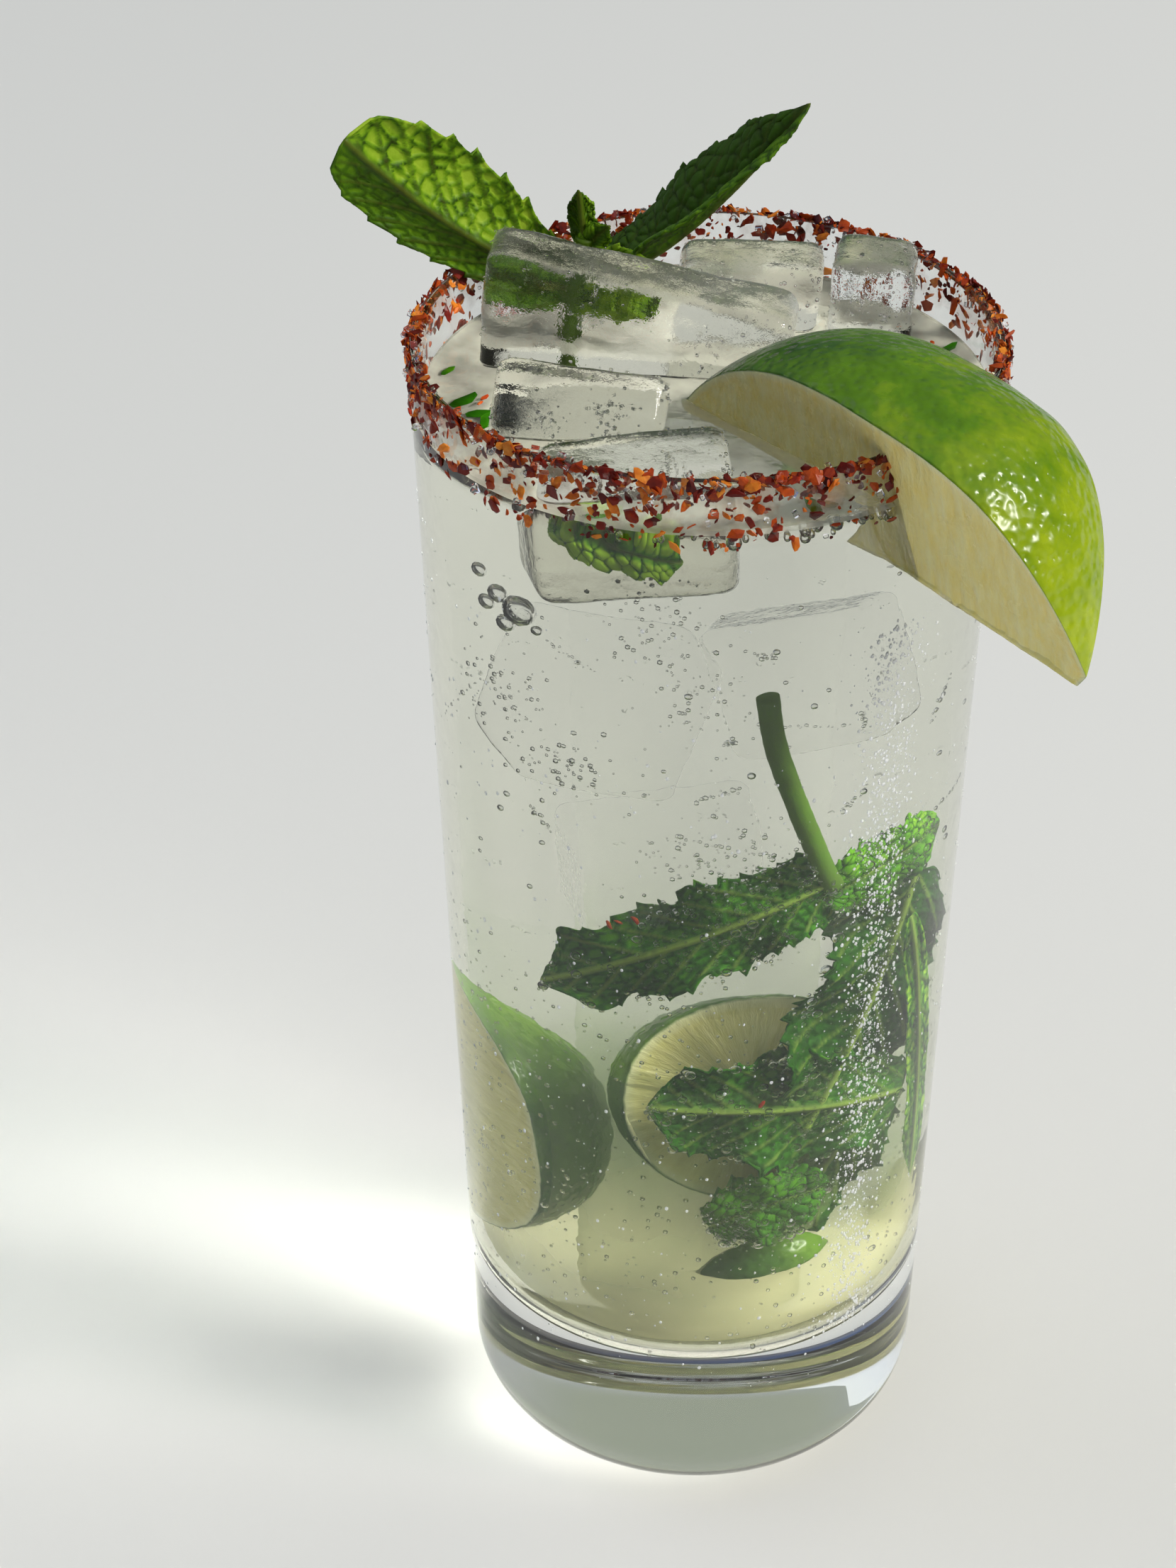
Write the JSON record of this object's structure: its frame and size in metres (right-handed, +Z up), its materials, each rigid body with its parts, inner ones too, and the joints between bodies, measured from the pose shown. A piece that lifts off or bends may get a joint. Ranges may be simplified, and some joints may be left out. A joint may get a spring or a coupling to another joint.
{
  "type": "mojito cocktail",
  "caption": "Tall heavy-based glass of mint and lime cocktail with ice, a mint sprig, a lime wedge pushed onto the rim and a chili and salt crust; it stands on its foot.",
  "frame": {"origin": "middle of the flat foot of the glass, on the surface it stands on", "axes": "+Z up along the glass, -Y towards the viewer, +X to the viewer's right"},
  "size_m": [0.0818, 0.0738, 0.1718],
  "materials": {
    "glass": "clear polished soda-lime glass",
    "drink": "cloudy pale lime drink, clearer at the top",
    "ice": "clear melting ice with trapped air",
    "mint": "fresh green leaf, quilted between its veins",
    "lime": "waxy dimpled green rind with wet pale flesh",
    "chili": "sticky dark red to orange flakes"
  },
  "bodies": {
    "root": {"glass": "glass", "drink": "drink", "ice_left": "ice", "ice_middle": "ice", "ice_front": "ice", "ice_back": "ice", "ice_right": "ice", "mint_sprig": "mint", "lime_wedge": "lime"}
  },
  "joints": []
}
